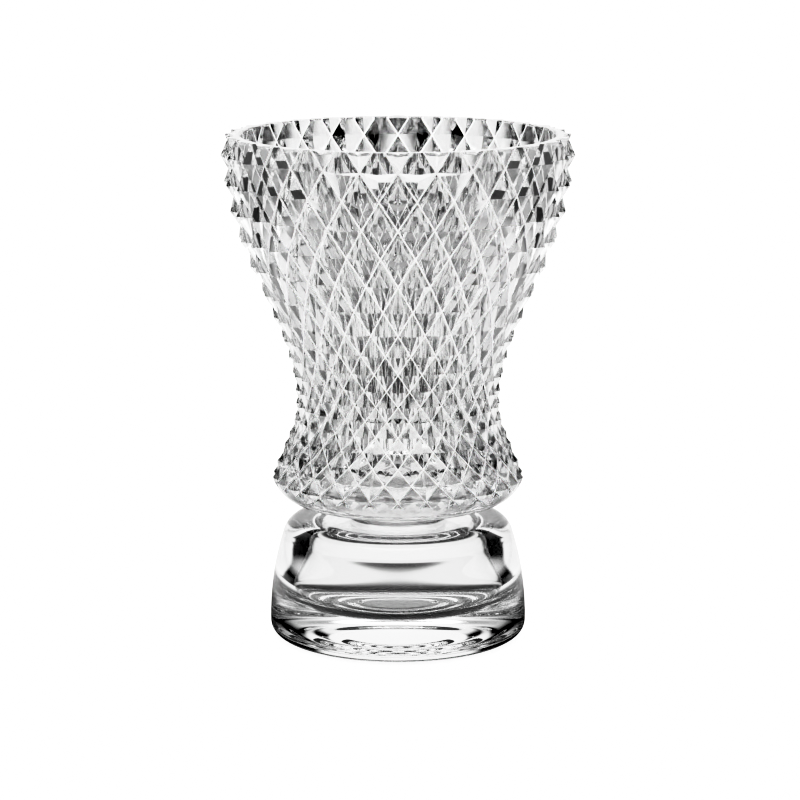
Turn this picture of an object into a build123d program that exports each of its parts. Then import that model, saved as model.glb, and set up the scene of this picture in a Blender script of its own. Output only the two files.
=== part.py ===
from build123d import *
import os

# A footed cut crystal vase: a waisted bowl cut all over with diamonds, a short neck and a hollow foot.

os.makedirs("parts", exist_ok=True)

# Millimetres, +Z up, the origin at the centre of the resting face.
# The foot is a blown dome with a thick floor, sealed over its hollow.
foot_height = 59.0
foot_radius = 63.8
foot_waterline = 8.0        # height at which the wall is upright
foot_top_radius = 54.5      # where the wall would meet the flat top, were the shoulder sharp
foot_shoulder = 10.0        # rounding of the shoulder
foot_heel = 6.5             # rounding of the bottom corner
foot_wall = 12.5
foot_ceiling = 7.5
foot_floor = 18.0
hollow_shoulder = 9.0
hollow_heel = 8.0
punt_radius = 32.0          # shallow ground hollow under the foot
punt_depth = 1.2

# The neck is the disc of glass that carries the bowl on the foot.
neck_height = 4.5
neck_radius = 24.5
neck_waist = 0.8            # how far the side of the neck draws in

# The bowl. Heights are above the bowl's own underside, radii are over the points of the diamonds.
bowl_height = 186.5
rim_radius = 86.8
flare_height = 122.0
flare_radius = 72.6
flare_slope = 0.44          # growth of the radius for each millimetre of height
waist_height = 53.5
waist_radius = 50.5
hip_height = 16.7
hip_radius = 62.6
hip_slope = -0.33
hip_turn = 17.0             # rounding from the side into the underside
hip_margin = 0.4            # glass of the blank outside the points at the hip
underside_rise = 6.8        # how far the underside has climbed where it meets the side

# The inside of the bowl.
rim_wall = 4.0              # glass left under the cuts at the rim, flare and waist
flare_wall = 5.0
waist_wall = 6.0
bowl_floor = 6.5            # glass between the room and the neck
bowl_floor_radius = 40.0
bulb_radius = 51.5          # widest part of the room, inside the hip
bulb_height = 19.5
rim_bevel = 3.0             # outside edge of the rim
rim_rounding = 1.2          # inside edge of the rim

# The diamond cutting.
cuts_around = 28
cut_depth_rim = 6.2
cut_depth_waist = 2.5
top_row_drop = 9.5          # first row of crossings, below the rim
row_pitch_rim = 13.78
row_pitch_waist = 7.3
pitch_settles = 137.4       # height above the underside where the rows reach their full pitch

blank_margin = 5.0          # how far the uncut blank stands outside the cut field

neck_base = foot_height
bowl_base = neck_base + neck_height
rim_top = bowl_base + bowl_height
waist_z = bowl_base + waist_height
hip_z = bowl_base + hip_height
flare_z = bowl_base + flare_height


def smooth_step(value, low, high):
    """0 below low, 1 above high, with an easy start and end."""
    share = min(max((value - low) / (high - low), 0), 1)
    return share * share * (3 - 2 * share)


def cut_depth(z):
    """Depth of a crossing of two cuts below the points beside it."""
    return cut_depth_waist + (cut_depth_rim - cut_depth_waist) * smooth_step(z, waist_z, rim_top)


def row_pitch(z):
    """Drop from the row of crossings at height z to the next one."""
    settled = bowl_base + pitch_settles
    return row_pitch_waist + (row_pitch_rim - row_pitch_waist) * smooth_step(z, waist_z, settled)


# Stations of the bowl's outline as (radius, height, slope), from the hip to the rim.
outside = [
    (hip_radius, hip_z, hip_slope),
    (waist_radius, waist_z, 0),
    (flare_radius, flare_z, flare_slope),
    (rim_radius, rim_top, 0),
]
inside = [
    (bulb_radius, bowl_base + bulb_height, 0),
    (waist_radius - cut_depth(waist_z) - waist_wall, waist_z, 0),
    (flare_radius - cut_depth(flare_z) - flare_wall, flare_z, flare_slope),
    (rim_radius - cut_depth(rim_top) - rim_wall, rim_top - rim_rounding, 0),
]


def handles(low, high):
    """Control points of the cubic that joins two stations with their own slopes."""
    (r0, z0, s0), (r1, z1, s1) = low, high
    third = (z1 - z0) / 3
    return [(r0, z0), (r0 + s0 * third, z0 + third), (r1 - s1 * third, z1 - third), (r1, z1)]


def point_radius(z):
    """Radius over the points of the diamonds at height z."""
    if z <= hip_z:
        return hip_radius + hip_slope * (z - hip_z)
    if z >= rim_top:
        return rim_radius
    low, high = next(pair for pair in zip(outside, outside[1:]) if z <= pair[1][1])
    t = (z - low[1]) / (high[1] - low[1])
    r = [point[0] for point in handles(low, high)]
    return r[0] * (1 - t) ** 3 + 3 * r[1] * t * (1 - t) ** 2 + 3 * r[2] * t * t * (1 - t) + r[3] * t**3


def row_heights():
    """Heights of the rows, from one row above the rim to the first below the bowl."""
    heights = [rim_top - top_row_drop + row_pitch_rim, rim_top - top_row_drop]
    while heights[-1] > bowl_base:
        heights.append(heights[-1] - row_pitch(heights[-1]))
    return heights


def row_points(row, z):
    """One row of the cutting: crossings and diamond points by turns around the bowl."""
    points = []
    for step in range(2 * cuts_around):
        crossing = (step + row) % 2 == 0
        radius = point_radius(z) - (cut_depth(z) if crossing else 0)
        points.append(Vector(radius, 0, z).rotate(Axis.Z, 180 * step / cuts_around))
    return points


def diamond_faces(row, above, below):
    """The facets between two rows. Each square is halved along the cut that joins its crossings."""
    faces = []
    count = len(above)
    for step in range(count):
        after = (step + 1) % count
        if (step + row) % 2 == 0:
            halves = [
                (above[step], below[after], above[after]),
                (above[step], below[step], below[after]),
            ]
        else:
            halves = [
                (above[after], above[step], below[step]),
                (above[after], below[step], below[after]),
            ]
        faces += [Face(Wire.make_polygon(half)) for half in halves]
    return faces


def cut_field():
    """A solid whose side carries the diamonds and whose ends lie outside the bowl."""
    rows = [row_points(row, z) for row, z in enumerate(row_heights())]
    faces = [Face(Wire.make_polygon(rows[0])), Face(Wire.make_polygon(rows[-1]))]
    for row in range(len(rows) - 1):
        faces += diamond_faces(row, rows[row], rows[row + 1])
    return Solid(Shell(faces))


# The foot: the outer dome, less its sealed hollow and the punt ground into its underside.
hollow_top = foot_height - foot_ceiling
with BuildPart() as foot:
    with BuildSketch(Plane.XZ) as dome:
        with BuildLine():
            wall = TangentArc(
                (foot_radius, foot_waterline), (foot_top_radius, foot_height), tangent=(0, 1)
            )
            Polyline(wall @ 1, (0, foot_height), (0, 0), (foot_radius, 0), wall @ 0)
        make_face()
        fillet(dome.vertices().group_by(Axis.Y)[-1].sort_by(Axis.X)[-1], foot_shoulder)
        fillet(dome.vertices().group_by(Axis.Y)[0].sort_by(Axis.X)[-1], foot_heel)
    revolve(axis=Axis.Z)
    with BuildSketch(Plane.XZ) as hollow:
        with BuildLine():
            side = TangentArc(
                (foot_radius - foot_wall, foot_floor),
                (foot_top_radius - foot_wall, hollow_top),
                tangent=(0, 1),
            )
            Polyline(side @ 1, (0, hollow_top), (0, foot_floor), side @ 0)
        make_face()
        fillet(hollow.vertices().group_by(Axis.Y)[-1].sort_by(Axis.X)[-1], hollow_shoulder)
        fillet(hollow.vertices().group_by(Axis.Y)[0].sort_by(Axis.X)[-1], hollow_heel)
    revolve(axis=Axis.Z, mode=Mode.SUBTRACT)
    with BuildSketch(Plane.XZ):
        with BuildLine():
            dish = TangentArc((0, punt_depth), (punt_radius, 0), tangent=(1, 0))
            Polyline(dish @ 1, (punt_radius, -punt_depth), (0, -punt_depth), dish @ 0)
        make_face()
    revolve(axis=Axis.Z, mode=Mode.SUBTRACT)
foot.part.label = "foot"
export_step(foot.part, "parts/foot.step")

# The neck: a disc with a side that draws in a little, flat above and below.
with BuildPart() as neck:
    with BuildSketch(Plane.XZ):
        with BuildLine():
            edge = ThreePointArc(
                (neck_radius, neck_base),
                (neck_radius - neck_waist, neck_base + neck_height / 2),
                (neck_radius, bowl_base),
            )
            Polyline(edge @ 1, (0, bowl_base), (0, neck_base), edge @ 0)
        make_face()
    revolve(axis=Axis.Z)
neck.part.label = "neck"
export_step(neck.part, "parts/neck.step")

# The bowl: the turned blank, cut with diamonds, with its inside blown hollow.
side_radius = hip_radius + hip_margin
clear_radius = rim_radius + blank_margin
floor_z = bowl_base + bowl_floor
with BuildPart() as bowl:
    with BuildSketch(Plane.XZ):
        with BuildLine():
            underside = FilletPolyline(
                (neck_radius, bowl_base),
                (side_radius, bowl_base + underside_rise),
                (side_radius, waist_z),
                radius=hip_turn,
            )
            Polyline(
                underside @ 1,
                (clear_radius, waist_z),
                (clear_radius, rim_top - rim_bevel - blank_margin),
                (rim_radius - rim_bevel, rim_top),
                (0, rim_top),
                (0, bowl_base),
                underside @ 0,
            )
        make_face()
    revolve(axis=Axis.Z)
    add(cut_field(), mode=Mode.INTERSECT)
    with BuildSketch(Plane.XZ):
        with BuildLine():
            lip = inside[-1][0]
            belly = [Bezier(*handles(low, high)) for low, high in zip(inside, inside[1:])]
            heel = TangentArc(belly[0] @ 0, (bowl_floor_radius, floor_z), tangent=(0, -1))
            rounding = JernArc(
                start=(lip + rim_rounding, rim_top), tangent=(-1, 0), radius=rim_rounding, arc_size=90
            )
            Polyline(
                rounding @ 0, (lip + rim_rounding, rim_top + blank_margin), (0, rim_top + blank_margin),
                (0, floor_z), heel @ 1,
            )
        make_face()
    revolve(axis=Axis.Z, mode=Mode.SUBTRACT)
bowl.part.label = "bowl"
export_step(bowl.part, "parts/bowl.step")
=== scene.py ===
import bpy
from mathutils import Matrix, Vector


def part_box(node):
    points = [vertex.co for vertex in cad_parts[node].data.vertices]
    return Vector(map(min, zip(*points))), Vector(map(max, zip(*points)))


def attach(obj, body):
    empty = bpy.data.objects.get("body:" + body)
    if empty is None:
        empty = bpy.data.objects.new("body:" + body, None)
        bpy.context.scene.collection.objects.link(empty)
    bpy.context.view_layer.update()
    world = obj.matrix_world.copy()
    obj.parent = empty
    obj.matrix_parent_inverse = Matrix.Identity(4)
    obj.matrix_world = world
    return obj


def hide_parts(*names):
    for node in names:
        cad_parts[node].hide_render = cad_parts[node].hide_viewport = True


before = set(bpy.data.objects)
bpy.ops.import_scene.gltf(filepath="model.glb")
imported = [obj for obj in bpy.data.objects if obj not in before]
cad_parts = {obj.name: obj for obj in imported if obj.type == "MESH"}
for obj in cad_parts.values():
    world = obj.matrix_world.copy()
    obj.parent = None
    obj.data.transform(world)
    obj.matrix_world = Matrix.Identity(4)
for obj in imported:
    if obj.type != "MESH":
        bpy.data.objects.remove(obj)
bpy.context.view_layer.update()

import math
import bmesh
import bpy
from mathutils import Matrix, Vector

bowlLow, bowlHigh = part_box("bowl")
neckLow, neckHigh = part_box("neck")
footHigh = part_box("foot")[1]
making = {
    "mergeGap": 0.000001,      # points nearer than this are one point
    "weldGap": 0.00001,        # the same for the seams between the slices of the sleeve
    "sliverGap": 0.0000001,    # edges shorter than this are taken out
    "creaseAngle": 35,         # edges sharper than this are not smoothed
}
print("frame loaded")


# knots are (radius, height, heading in degrees); the outline runs smoothly from each to the next
def turnedBody(knots, turns, name, stepsPerKnot):
    curve = bpy.data.curves.new(name, "CURVE")
    curve.dimensions = "3D"
    curve.resolution_u = stepsPerKnot
    spline = curve.splines.new("BEZIER")
    spline.bezier_points.add(len(knots) - 1)
    for point, (radius, height, heading) in zip(spline.bezier_points, knots):
        point.handle_left_type = point.handle_right_type = "FREE"
        point.co = point.handle_left = point.handle_right = (radius, 0, height)
    for here, there, first, second in zip(
        spline.bezier_points, spline.bezier_points[1:], knots, knots[1:]
    ):
        turn = math.radians((second[2] - first[2] + 180) % 360 - 180)
        reach = (there.co - here.co).length / 3 / math.cos(turn / 4) ** 2
        here.handle_right = here.co + reach * headingVector(first[2])
        there.handle_left = there.co - reach * headingVector(second[2])
    drawn = bpy.data.objects.new(name, curve)
    outline = bpy.data.meshes.new_from_object(drawn)
    bm = bmesh.new()
    bm.from_mesh(outline)
    bpy.data.objects.remove(drawn)
    bpy.data.curves.remove(curve)
    bpy.data.meshes.remove(outline)
    bmesh.ops.remove_doubles(bm, verts=bm.verts, dist=making["mergeGap"])
    bmesh.ops.spin(
        bm, geom=bm.verts[:] + bm.edges[:], cent=(0, 0, 0), axis=(0, 0, 1), angle=2 * math.pi,
        steps=turns, use_merge=True,
    )
    bmesh.ops.remove_doubles(bm, verts=bm.verts, dist=making["mergeGap"])
    bmesh.ops.dissolve_degenerate(bm, edges=bm.edges, dist=making["sliverGap"])
    bmesh.ops.recalc_face_normals(bm, faces=bm.faces)
    for face in bm.faces:
        face.smooth = True
    return bm


def headingVector(degrees):
    return Vector((math.cos(math.radians(degrees)), 0, math.sin(math.radians(degrees))))


def makeObject(name, bm):
    mesh = bpy.data.meshes.new(name)
    bm.to_mesh(mesh)
    bm.free()
    made = bpy.data.objects.new(name, mesh)
    bpy.context.scene.collection.objects.link(made)
    return made


def carve(body, tool, operation):
    cut = body.modifiers.new(operation, "BOOLEAN")
    cut.object = tool
    cut.operation = operation
    cut.solver = "EXACT"
    scene = bpy.context.evaluated_depsgraph_get()
    carved = bpy.data.meshes.new_from_object(body.evaluated_get(scene))
    body.modifiers.clear()
    old = body.data
    body.data = carved
    bpy.data.meshes.remove(old)
    bpy.data.objects.remove(tool)


def creaseSharp(mesh):
    bm = bmesh.new()
    bm.from_mesh(mesh)
    limit = math.radians(making["creaseAngle"])
    for edge in bm.edges:
        if len(edge.link_faces) == 2 and edge.calc_face_angle() > limit:
            edge.smooth = False
    bm.to_mesh(mesh)
    bm.free()


def newNode(tree, kind, feeds, **settings):
    node = tree.nodes.new(kind)
    for name, value in settings.items():
        setattr(node, name, value)
    for socket, value in feeds.items():
        if isinstance(value, bpy.types.NodeSocket):
            tree.links.new(value, node.inputs[socket])
        else:
            node.inputs[socket].default_value = value
    return node


# every surface is clear crystal, and they differ in how each was worked; the wheel grooves also carry a
# painted glow, an emission that paints their lines bright
finishes = {
    # roughness from and to, wave height in metres, waves per metre, coat, glow (an emission, a painted
    # glow)
    "cutFacets": {"rough": (0.0, 0.0), "wave": 0.000004, "waveScale": 160.0, "coat": 1.0, "glow": 0.0},
    # the wheel grooves have a painted glow: their emission paints the groove lines bright where no lamp
    # shines
    "wheelGroovesPaintedGlow": {"rough": (0.42, 0.58), "wave": 0.00002, "waveScale": 900.0, "coat": 0.0, "glow": 0.25},
    "innerWall": {"rough": (0.035, 0.065), "wave": 0.00001, "waveScale": 40.0, "coat": 0.0, "glow": 0.0},
    "firePolished": {"rough": (0.0, 0.0), "wave": 0.00001, "waveScale": 45.0, "coat": 0.0, "glow": 0.0},
    "pressedNeck": {"rough": (0.0, 0.0), "wave": 0.000006, "waveScale": 90.0, "coat": 0.0, "glow": 0.0},
}
glass = {
    "ior": 1.54,
    "coatIor": 2.8,            # far above glass, so that the facets mirror strongly
    "waveDetail": 3.0,
    "waveSpan": (0.35, 0.65),  # the middle of the noise, where most of it lies
}


def crystal(name):
    finish = finishes[name]
    material = bpy.data.materials.new(name)
    material.use_nodes = True
    tree = material.node_tree
    shader = tree.nodes["Principled BSDF"]
    shader.inputs["Base Color"].default_value = (1, 1, 1, 1)
    shader.inputs["IOR"].default_value = glass["ior"]
    shader.inputs["Transmission Weight"].default_value = 1.0
    shader.inputs["Coat Weight"].default_value = finish["coat"]
    shader.inputs["Coat IOR"].default_value = glass["coatIor"]
    shader.inputs["Coat Roughness"].default_value = 0.0
    # painted glow: a finish with glow above zero, the wheel grooves, gives off white light of its own,
    # which paints its lines bright
    shader.inputs["Emission Color"].default_value = (1, 1, 1, 1)
    shader.inputs["Emission Strength"].default_value = finish["glow"]
    place = newNode(tree, "ShaderNodeTexCoord", {}).outputs["Object"]
    swirl = newNode(tree, "ShaderNodeTexNoise", {
        "Vector": place, "Scale": finish["waveScale"], "Detail": glass["waveDetail"],
    }).outputs["Fac"]
    smoothest, roughest = finish["rough"]
    if smoothest == roughest:
        shader.inputs["Roughness"].default_value = smoothest
    else:
        worn = newNode(tree, "ShaderNodeMapRange", {
            "Value": swirl, "From Min": glass["waveSpan"][0], "From Max": glass["waveSpan"][1],
            "To Min": smoothest, "To Max": roughest,
        })
        tree.links.new(worn.outputs["Result"], shader.inputs["Roughness"])
    bump = newNode(tree, "ShaderNodeBump", {"Height": swirl, "Strength": 1.0, "Distance": finish["wave"]})
    tree.links.new(bump.outputs["Normal"], shader.inputs["Normal"])
    return material


# the bowl, in metres: radii are over the points of the diamonds, heights are above its underside
bowl = {
    "cutsAround": 28,
    "grooveWidth": 0.05,       # share of a cell left flat along each side of a cut
    "trimGap": 0.0001,         # the same unit, where the flat sheet is trimmed to whole cells
    "rimRadius": 0.0868, "flareRadius": 0.0726, "waistRadius": 0.0505, "hipRadius": 0.0626,
    "flareHeight": 0.1220, "waistHeight": 0.0535, "hipHeight": 0.0167,
    "flareSlope": 0.44, "hipSlope": -0.33,
    "depthRim": 0.0062, "depthWaist": 0.0025,
    "topRowDrop": 0.0095, "pitchRim": 0.01378, "pitchWaist": 0.0073, "pitchSettles": 0.1374,
    "hipMargin": 0.0004, "undersideRise": 0.0068, "hipTurn": 0.017,
    "wallRim": 0.004, "wallFlare": 0.005, "wallWaist": 0.006,
    "floorThick": 0.0065, "floorRadius": 0.040, "bulbRadius": 0.0515, "bulbHeight": 0.0195,
    "rimBevel": 0.003, "rimRounding": 0.0012,
    "toolOverrun": 0.005,      # how far the cutting tools reach past the glass
    "turnsPerCut": 8, "blankSteps": 12, "roomSteps": 24,
}
bowlFinishes = ["cutFacets", "wheelGroovesPaintedGlow", "innerWall"]
baseZ, rimZ = bowlLow.z, bowlHigh.z
waistZ, hipZ, flareZ = (baseZ + bowl[key] for key in ("waistHeight", "hipHeight", "flareHeight"))
# stations up the side: radius, height and how fast the radius grows there
side = [
    (bowl["hipRadius"], hipZ, bowl["hipSlope"]),
    (bowl["waistRadius"], waistZ, 0),
    (bowl["flareRadius"], flareZ, bowl["flareSlope"]),
    (bowl["rimRadius"], rimZ, 0),
]


def smoothStep(value, low, high):
    share = min(max((value - low) / (high - low), 0), 1)
    return share * share * (3 - 2 * share)


def pointRadius(z):
    if z <= hipZ:
        return bowl["hipRadius"] + bowl["hipSlope"] * (z - hipZ)
    if z >= rimZ:
        return bowl["rimRadius"]
    (r0, z0, s0), (r1, z1, s1) = next(pair for pair in zip(side, side[1:]) if z <= pair[1][1])
    t, rise = (z - z0) / (z1 - z0), z1 - z0
    mid = 3 * (1 - t) * t * ((1 - t) * (r0 + s0 * rise / 3) + t * (r1 - s1 * rise / 3))
    return r0 * (1 - t) ** 3 + mid + r1 * t**3


def cutDepth(z):
    return bowl["depthWaist"] + (bowl["depthRim"] - bowl["depthWaist"]) * smoothStep(z, waistZ, rimZ)


def rowHeights():
    heights = [rimZ - bowl["topRowDrop"] + bowl["pitchRim"], rimZ - bowl["topRowDrop"]]
    while heights[-1] > baseZ:
        settle = smoothStep(heights[-1], waistZ, baseZ + bowl["pitchSettles"])
        heights.append(heights[-1] - bowl["pitchWaist"] - (bowl["pitchRim"] - bowl["pitchWaist"]) * settle)
    return heights


# a flat sheet of diamonds, each a cell with a raised middle, wrapped round the bowl's side
def diamondSleeve():
    heights = rowHeights()
    rows = len(heights) - 1
    cells = rows + 4
    bm = bmesh.new()
    bmesh.ops.create_grid(bm, x_segments=cells, y_segments=cells, size=cells / math.sqrt(2))
    bmesh.ops.rotate(bm, verts=bm.verts, cent=(0, 0, 0), matrix=Matrix.Rotation(math.pi / 4, 3, "Z"))
    inner = bmesh.ops.inset_individual(bm, faces=bm.faces[:], thickness=bowl["grooveWidth"])
    strips = set(inner["faces"])
    cellsInside = [face for face in bm.faces if face not in strips]
    bmesh.ops.poke(bm, faces=cellsInside, offset=1.0)
    # the groove strips take the wheel-groove finish, with its painted glow
    for face in strips:
        face.material_index = bowlFinishes.index("wheelGroovesPaintedGlow")
    middle = 1 + rows // 2
    bmesh.ops.translate(bm, verts=bm.verts, vec=(0, middle, 0))
    trims = (
        ((0, 0, 0), (-1, 0, 0)), ((2, 0, 0), (1, 0, 0)),
        ((0, 0, 0), (0, -1, 0)), ((0, rows, 0), (0, 1, 0)),
    )
    for corner, outward in trims:
        bmesh.ops.bisect_plane(
            bm, geom=bm.verts[:] + bm.edges[:] + bm.faces[:], dist=bowl["trimGap"], plane_co=corner,
            plane_no=outward, clear_outer=True,
        )
    for vert in bm.verts:
        column, row, lift = vert.co
        whole = min(int(row + making["mergeGap"]), rows - 1)
        z = heights[whole] + (heights[whole + 1] - heights[whole]) * (row - whole)
        radius = pointRadius(z) - cutDepth(z) * (1 - lift)
        angle = math.pi * column / bowl["cutsAround"]
        vert.co = (radius * math.sin(angle), -radius * math.cos(angle), z)
    bmesh.ops.spin(
        bm, geom=bm.verts[:] + bm.edges[:] + bm.faces[:], cent=(0, 0, 0), axis=(0, 0, 1),
        angle=2 * math.pi, steps=bowl["cutsAround"], use_duplicate=True,
    )
    bmesh.ops.remove_doubles(bm, verts=bm.verts, dist=making["weldGap"])
    rims = [edge for edge in bm.edges if edge.is_boundary]
    bmesh.ops.holes_fill(bm, edges=rims, sides=0)
    bmesh.ops.recalc_face_normals(bm, faces=bm.faces)
    return bm


def bowlBlank():
    sideRadius = bowl["hipRadius"] + bowl["hipMargin"]
    clear = bowl["rimRadius"] + bowl["toolOverrun"]
    bevelRadius = bowl["rimRadius"] - bowl["rimBevel"]
    bevelZ = rimZ - bowl["rimBevel"] - bowl["toolOverrun"]
    run = sideRadius - neckHigh.x
    lean = math.atan2(bowl["undersideRise"], run)
    tangent = bowl["hipTurn"] * math.tan((math.pi / 2 - lean) / 2)
    cornerZ = baseZ + bowl["undersideRise"]
    climb = math.degrees(lean)
    return turnedBody([
        (0, baseZ, 0), (neckHigh.x, baseZ, 0), (neckHigh.x, baseZ, climb),
        (sideRadius - tangent * math.cos(lean), cornerZ - tangent * math.sin(lean), climb),
        (sideRadius, cornerZ + tangent, 90), (sideRadius, waistZ, 90), (sideRadius, waistZ, 0),
        (clear, waistZ, 0), (clear, waistZ, 90), (clear, bevelZ, 90), (clear, bevelZ, 135),
        (bevelRadius, rimZ, 135), (bevelRadius, rimZ, 180), (0, rimZ, 180),
    ], bowl["turnsPerCut"] * bowl["cutsAround"], "blank", bowl["blankSteps"])


def bowlRoom():
    floorZ = baseZ + bowl["floorThick"]
    waist = bowl["waistRadius"] - cutDepth(waistZ) - bowl["wallWaist"]
    flare = bowl["flareRadius"] - cutDepth(flareZ) - bowl["wallFlare"]
    rim = bowl["rimRadius"] - cutDepth(rimZ) - bowl["wallRim"]
    rounding, bulbZ = bowl["rimRounding"], baseZ + bowl["bulbHeight"]
    mouth, aboveZ = rim + rounding, rimZ + bowl["toolOverrun"]
    flareHeading = 90 - math.degrees(math.atan(bowl["flareSlope"]))
    return turnedBody([
        (0, floorZ, 0), (bowl["floorRadius"], floorZ, 0), (bowl["bulbRadius"], bulbZ, 90),
        (waist, waistZ, 90), (flare, flareZ, flareHeading), (rim, rimZ - rounding, 90),
        (mouth, rimZ, 0), (mouth, rimZ, 90), (mouth, aboveZ, 90), (mouth, aboveZ, 180), (0, aboveZ, 180),
    ], bowl["turnsPerCut"] * bowl["cutsAround"], "room", bowl["roomSteps"])


# the tools carry the same finishes as the sleeve, so each surface keeps the one it was given
def dressed(thing, finish=None):
    for material in bowlMaterials:
        thing.data.materials.append(material)
    if finish:
        for face in thing.data.polygons:
            face.material_index = bowlFinishes.index(finish)
    return thing


bowlMaterials = [crystal(name) for name in bowlFinishes]
bowlPiece = dressed(makeObject("cut_bowl", diamondSleeve()))
carve(bowlPiece, dressed(makeObject("blank", bowlBlank()), "cutFacets"), "INTERSECT")
carve(bowlPiece, dressed(makeObject("room", bowlRoom()), "innerWall"), "DIFFERENCE")
creaseSharp(bowlPiece.data)
print("bowl cut", len(bowlPiece.data.polygons))

# the foot, in metres: a shoulder starts at a radius, a height and a heading in degrees
foot = {
    "waterline": 0.008, "heel": 0.0065, "shoulderStart": (0.0569, 0.0521, 107.8), "shoulderEnd": 0.0474,
    "wall": 0.0125, "ceiling": 0.0075, "floor": 0.018, "hollowHeel": 0.008,
    "hollowShoulderStart": (0.0441, 0.0451, 108), "hollowShoulderEnd": 0.0355,
    "hollowLean": 92,
    # fine rings ground underneath, inside the resting edge
    "ringsRadius": 0.054, "ringDepth": 0.0012, "rings": 4, "ringStart": 0.016, "ringPitch": 0.0105,
    "turns": 192, "steps": 24,
}
footRadius, footTop = footHigh.x, footHigh.z


def footBody():
    rings = []
    for ring in range(foot["rings"]):
        crest = foot["ringStart"] + ring * foot["ringPitch"]
        rings += [(crest, foot["ringDepth"], 0), (crest + foot["ringPitch"] / 2, 0, 0)]
    outer = turnedBody([(0, foot["ringDepth"], 0)] + rings + [
        (foot["ringsRadius"], 0, 0),
        (footRadius - foot["heel"], 0, 0), (footRadius, foot["heel"], 90),
        (footRadius, foot["waterline"], 90),
        foot["shoulderStart"], (foot["shoulderEnd"], footTop, 180), (0, footTop, 180),
    ], foot["turns"], "dome", foot["steps"])
    inner = footRadius - foot["wall"]
    hollow = turnedBody([
        (0, foot["floor"], 0), (inner - foot["hollowHeel"], foot["floor"], 0),
        (inner, foot["floor"] + foot["hollowHeel"], foot["hollowLean"]), foot["hollowShoulderStart"],
        (foot["hollowShoulderEnd"], footTop - foot["ceiling"], 180), (0, footTop - foot["ceiling"], 180),
    ], foot["turns"], "hollow", foot["steps"])
    bmesh.ops.reverse_faces(hollow, faces=hollow.faces)
    shell = bpy.data.meshes.new("hollow")
    hollow.to_mesh(shell)
    hollow.free()
    outer.from_mesh(shell)
    bpy.data.meshes.remove(shell)
    return outer


footPiece = makeObject("domed_foot", footBody())
creaseSharp(footPiece.data)
print("foot blown", len(footPiece.data.polygons))

# the neck
neck = {
    "drawIn": 0.0008,
    "sideLean": 20,  # degrees that the side leans at its top and bottom
    "seam": 0.0003,  # how far the neck melts into its neighbours
    "turns": 192, "steps": 24,
}


def neckBody():
    low, high, radius = neckLow.z - neck["seam"], neckHigh.z + neck["seam"], neckHigh.x
    middle = (low + high) / 2
    return turnedBody([
        (0, low, 0), (radius, low, 0), (radius, low, 90 + neck["sideLean"]),
        (radius - neck["drawIn"], middle, 90),
        (radius, high, 90 - neck["sideLean"]), (radius, high, 180), (0, high, 180),
    ], neck["turns"], "disc", neck["steps"])


neckPiece = makeObject("neck_disc", neckBody())
creaseSharp(neckPiece.data)
print("neck pressed", len(neckPiece.data.polygons))

footPiece.data.materials.append(crystal("firePolished"))
neckPiece.data.materials.append(crystal("pressedNeck"))
for piece, node, slotName in (
    (bowlPiece, "bowl", "cut_crystal"),
    (neckPiece, "neck", "neck_crystal"),
    (footPiece, "foot", "blown_crystal"),
):
    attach(piece, "root")
    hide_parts(node)
print("pieces placed")

# the studio: a lit backdrop behind, dark on both sides and in front, a soft light overhead; angles are
# degrees away from straight behind or above level, reaches are metres from the vase, and each pair is
# where a change begins and ends
studio = {
    "backdropAngle": (24, 32), "backdrop": 0.85, "dark": 0.015,
    "hazeAngle": (10, 90), "hazeBehind": 0.9, "hazeFront": 0.25, "hazeClimb": (14, 32),
    "overhead": 1.9, "overheadClimb": (55, 65), "skySeen": 1.0,
    "floorHalf": 30.0, "floorDrop": 0.0002, "floorGrey": 0.5, "floorRough": 0.9, "floorSeen": 0.82,
    "floorLit": 0.77, "floorFar": 0.08, "floorUnder": 0.03,
    "footShade": (0.058, 0.20), "litAround": (0.30, 0.70),
    "bounces": 24, "mirrorBounces": 16,
    # the picture is developed with more contrast than the light has, as pairs of light in and tone out
    "contrast": ((0.1, 0.015), (0.34, 0.37), (0.58, 0.79), (0.88, 0.965)),
}


def ramp(tree, value, span, levels):
    return newNode(tree, "ShaderNodeMapRange", {
        "Value": value, "From Min": span[0], "From Max": span[1], "To Min": levels[0], "To Max": levels[1],
    }, interpolation_type="SMOOTHSTEP").outputs["Result"]


def calc(tree, operation, *values):
    return newNode(tree, "ShaderNodeMath", dict(enumerate(values)), operation=operation).outputs["Value"]


def radians(degrees):
    return [math.radians(angle) for angle in degrees]


def sines(degrees):
    return [math.sin(angle) for angle in radians(degrees)]


# how far a direction turns away from straight behind, to either side
def turnFromBehind(tree, across):
    return calc(tree, "ARCTAN2", calc(tree, "ABSOLUTE", across["X"]), across["Y"])


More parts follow.
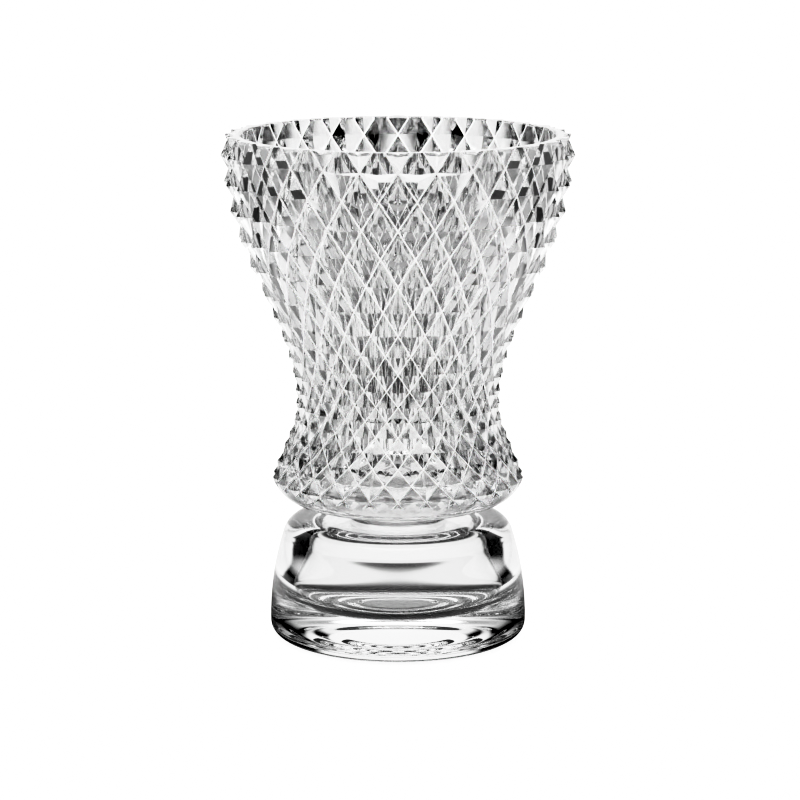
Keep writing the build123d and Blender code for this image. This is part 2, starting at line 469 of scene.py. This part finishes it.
# the floor is plain to the eye, and gives the glass a light of its own: dark under the foot and close to
# it, then bright all round, and farther off bright only behind
def paleFloor():
    material = bpy.data.materials.new("pale_floor")
    material.use_nodes = True
    tree = material.node_tree
    paper = tree.nodes["Principled BSDF"]
    paper.inputs["Base Color"].default_value = (studio["floorGrey"],) * 3 + (1,)
    paper.inputs["Roughness"].default_value = studio["floorRough"]
    paper.inputs["Specular IOR Level"].default_value = 0.0
    paper.inputs["Emission Color"].default_value = (1, 1, 1, 1)
    paper.inputs["Emission Strength"].default_value = studio["floorSeen"]
    place = newNode(tree, "ShaderNodeTexCoord", {}).outputs["Object"]
    across = newNode(tree, "ShaderNodeSeparateXYZ", {"Vector": place}).outputs
    reach = newNode(tree, "ShaderNodeVectorMath", {0: place}, operation="LENGTH").outputs["Value"]
    shade = ramp(tree, reach, studio["footShade"], (studio["floorUnder"], 1))
    near = ramp(tree, reach, studio["litAround"], (1, 0))
    turn = turnFromBehind(tree, across)
    behind = ramp(tree, turn, radians(studio["backdropAngle"]), (1, 0))
    lit = calc(tree, "MULTIPLY", calc(tree, "MAXIMUM", near, behind), shade)
    strength = ramp(tree, lit, (0, 1), (studio["floorFar"], studio["floorLit"]))
    glow = newNode(tree, "ShaderNodeEmission", {"Strength": strength})
    seen = newNode(tree, "ShaderNodeLightPath", {}).outputs["Is Camera Ray"]
    both = newNode(tree, "ShaderNodeMixShader", {0: seen, 1: glow.outputs[0], 2: paper.outputs[0]})
    tree.links.new(both.outputs[0], tree.nodes["Material Output"].inputs["Surface"])
    return material


def studioWorld():
    world = bpy.data.worlds.new("studio")
    world.use_nodes = True
    tree = world.node_tree
    direction = newNode(tree, "ShaderNodeTexCoord", {}).outputs["Generated"]
    across = newNode(tree, "ShaderNodeSeparateXYZ", {"Vector": direction}).outputs
    turn = turnFromBehind(tree, across)
    low = ramp(tree, turn, radians(studio["backdropAngle"]), (studio["backdrop"], studio["dark"]))
    haze = ramp(tree, turn, radians(studio["hazeAngle"]), (studio["hazeBehind"], studio["hazeFront"]))
    climb = ramp(tree, across["Z"], sines(studio["hazeClimb"]), (0, 1))
    over = ramp(tree, across["Z"], sines(studio["overheadClimb"]), (0, 1))
    seen = newNode(tree, "ShaderNodeLightPath", {}).outputs["Is Camera Ray"]
    light = low
    for share, other in ((climb, haze), (over, studio["overhead"]), (seen, studio["skySeen"])):
        light = newNode(tree, "ShaderNodeMix", {"Factor": share, "A": light, "B": other}).outputs["Result"]
    tree.links.new(light, tree.nodes["Background"].inputs["Color"])
    return world


bm = bmesh.new()
bmesh.ops.create_grid(bm, x_segments=1, y_segments=1, size=studio["floorHalf"])
bmesh.ops.translate(bm, verts=bm.verts, vec=(0, 0, -studio["floorDrop"]))
floor = makeObject("floor", bm)
floor.data.materials.append(paleFloor())

scene = bpy.context.scene
scene.world = studioWorld()
scene.cycles.max_bounces = scene.cycles.transmission_bounces = studio["bounces"]
scene.cycles.glossy_bounces = studio["mirrorBounces"]

shot = {"place": (0, -1.414, 0.409), "lookDown": 11.644, "lens": 131.16, "shiftAcross": 0.0025}
camera = bpy.data.objects.new("camera", bpy.data.cameras.new("camera"))
scene.collection.objects.link(camera)
camera.location = shot["place"]
camera.rotation_euler = (math.radians(90 - shot["lookDown"]), 0, 0)
camera.data.lens = shot["lens"]
camera.data.shift_x = shot["shiftAcross"]
scene.camera = camera
scene.view_settings.view_transform = "Standard"
scene.view_settings.use_curve_mapping = True
tones = scene.view_settings.curve_mapping
tones.extend = "HORIZONTAL"
combined = tones.curves[3]  # the curve for all three colours together
for light, tone in studio["contrast"]:
    combined.points.new(light, tone)
tones.update()
print("studio set")
